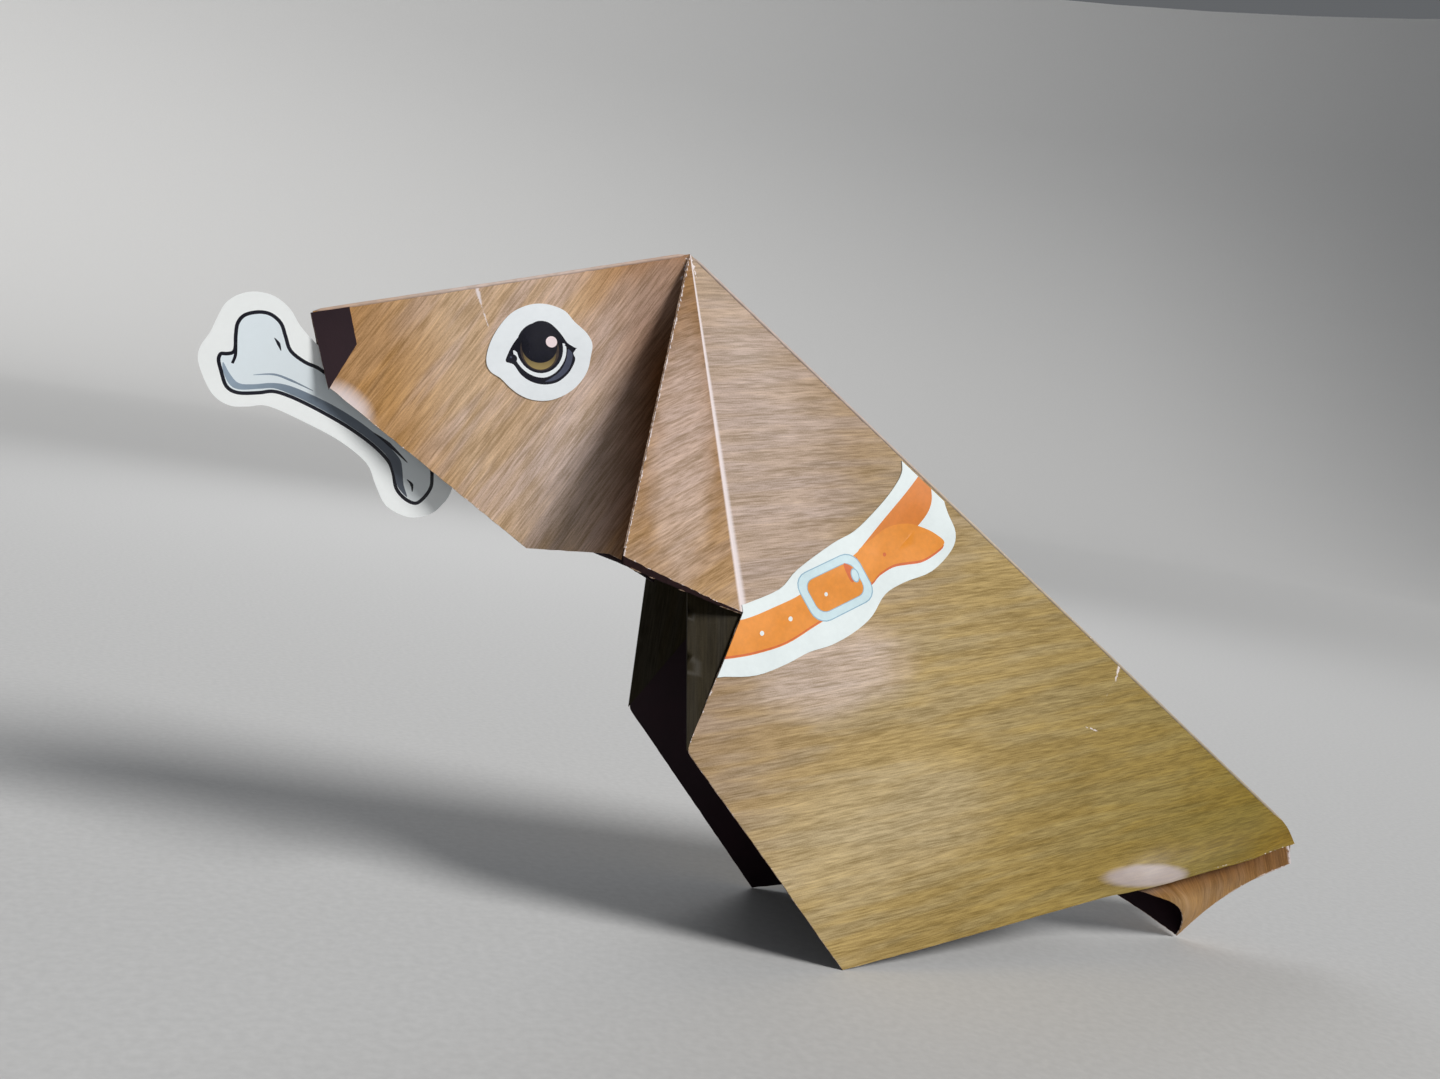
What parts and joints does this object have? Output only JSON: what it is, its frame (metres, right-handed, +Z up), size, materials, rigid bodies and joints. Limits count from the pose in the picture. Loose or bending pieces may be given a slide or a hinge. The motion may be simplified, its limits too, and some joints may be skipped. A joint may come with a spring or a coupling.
{
  "type": "folded paper dog",
  "caption": "Sitting dog folded from one sheet of printed paper, with stuck-on eyes and collar and a loose bone card held in the mouth.",
  "frame": {"origin": "on the floor, below the middle of the whole dog", "axes": "-X the way the dog looks, -Y the dog's left side, +Z up"},
  "size_m": [0.1634, 0.0406, 0.0831],
  "materials": {
    "printed_paper": "satin print of short brown fur, worn white along the creases",
    "sheet_reverse": "matt, solid dark maroon",
    "worn_crease": "rubbed paper core along the fold",
    "eye_label": "glossy label with a printed eye and a white border",
    "collar_label": "glossy label with a printed strap and buckle and a white border",
    "bone_card": "glossy white card with a printed outline"
  },
  "bodies": {
    "back_crease": {"back_crease": "worn_crease"},
    "left_flank": {"left_flank": "printed_paper", "left_neck_flap": "printed_paper", "left_collar": "collar_label"},
    "right_flank": {"right_flank": "printed_paper", "right_neck_flap": "printed_paper", "right_collar": "collar_label"},
    "left_ear": {"left_ear": "printed_paper"},
    "right_ear": {"right_ear": "printed_paper"},
    "left_ear_pleat": {"left_ear_pleat": "sheet_reverse"},
    "right_ear_pleat": {"right_ear_pleat": "sheet_reverse"},
    "head_crease": {"head_crease": "worn_crease"},
    "left_cheek": {"left_cheek": "printed_paper", "left_nose_tip": "sheet_reverse", "left_eye": "eye_label"},
    "right_cheek": {"right_cheek": "printed_paper", "right_nose_tip": "sheet_reverse", "right_eye": "eye_label"},
    "bone": {"bone": "bone_card"},
    "tail_crease": {"tail_crease": "worn_crease"},
    "left_tail_flap": {"left_tail_flap": "printed_paper"},
    "right_tail_flap": {"right_tail_flap": "printed_paper"}
  },
  "joints": [
    {"name": "body_open", "type": "hinge", "parent": "back_crease", "child": "left_flank", "pos_m": [-0.02861, 0, 0.08323], "axis": [-0.8572, 0, 0.515], "range_deg": [-4, 12]},
    {"name": "body_open_right", "type": "hinge", "parent": "back_crease", "child": "right_flank", "pos_m": [-0.02861, 0, 0.08323], "axis": [0.8572, 0, -0.515], "range_deg": [-4, 12]},
    {"name": "head_nod", "type": "hinge", "parent": "back_crease", "child": "head_crease", "pos_m": [-0.02861, 0, 0.08323], "axis": [0, 1, 0], "range_deg": [-2, 8]},
    {"name": "left_cheek_open", "type": "hinge", "parent": "head_crease", "child": "left_cheek", "pos_m": [-0.02861, 0, 0.08323], "axis": [-0.9432, 0, -0.3322], "range_deg": [-3.2, 9.6]},
    {"name": "right_cheek_open", "type": "hinge", "parent": "head_crease", "child": "right_cheek", "pos_m": [-0.02861, 0, 0.08323], "axis": [0.9432, 0, 0.3322], "range_deg": [-3.2, 9.6]},
    {"name": "left_ear_fold", "type": "hinge", "parent": "left_flank", "child": "left_ear", "pos_m": [-0.02861, 0, 0.08323], "axis": [0.2521, -0.1785, -0.9511], "range_deg": [-12, 3]},
    {"name": "right_ear_fold", "type": "hinge", "parent": "right_flank", "child": "right_ear", "pos_m": [-0.02861, 0, 0.08323], "axis": [-0.2521, -0.1785, 0.9511], "range_deg": [-12, 3]},
    {"name": "left_pleat_fold", "type": "hinge", "parent": "left_ear", "child": "left_ear_pleat", "pos_m": [-0.02861, 0, 0.08323], "axis": [-0.2127, -0.4891, -0.8459], "range_deg": [-20, 5]},
    {"name": "right_pleat_fold", "type": "hinge", "parent": "right_ear", "child": "right_ear_pleat", "pos_m": [-0.02861, 0, 0.08323], "axis": [0.2127, -0.4891, 0.8459], "range_deg": [-20, 5]},
    {"name": "tail_tilt", "type": "hinge", "parent": "back_crease", "child": "tail_crease", "pos_m": [0.082, 0, 0.01491], "axis": [0, 1, 0], "range_deg": [-1.72, 5.16]},
    {"name": "left_tail_open", "type": "hinge", "parent": "tail_crease", "child": "left_tail_flap", "pos_m": [0.082, 0, 0.01491], "axis": [-0.7951, 0, -0.6065], "range_deg": [-18, 6]},
    {"name": "right_tail_open", "type": "hinge", "parent": "tail_crease", "child": "right_tail_flap", "pos_m": [0.082, 0, 0.01491], "axis": [0.7951, 0, 0.6065], "range_deg": [-18, 6]},
    {"name": "bone_slide", "type": "slide", "parent": "head_crease", "child": "bone", "axis": [-0.4321, 0, -0.9018], "range_m": [0, 0.03]}
  ],
  "couplings": [
    {"joint": "body_open_right", "follows": "body_open", "ratio": 1},
    {"joint": "left_cheek_open", "follows": "body_open", "ratio": 0.8},
    {"joint": "right_cheek_open", "follows": "body_open", "ratio": 0.8},
    {"joint": "left_ear_fold", "follows": "head_nod", "ratio": -1.3},
    {"joint": "right_ear_fold", "follows": "head_nod", "ratio": -1.3},
    {"joint": "left_pleat_fold", "follows": "head_nod", "ratio": -2.4},
    {"joint": "right_pleat_fold", "follows": "head_nod", "ratio": -2.4},
    {"joint": "tail_tilt", "follows": "body_open", "ratio": 0.43},
    {"joint": "left_tail_open", "follows": "body_open", "ratio": -1.5},
    {"joint": "right_tail_open", "follows": "body_open", "ratio": -1.5}
  ]
}
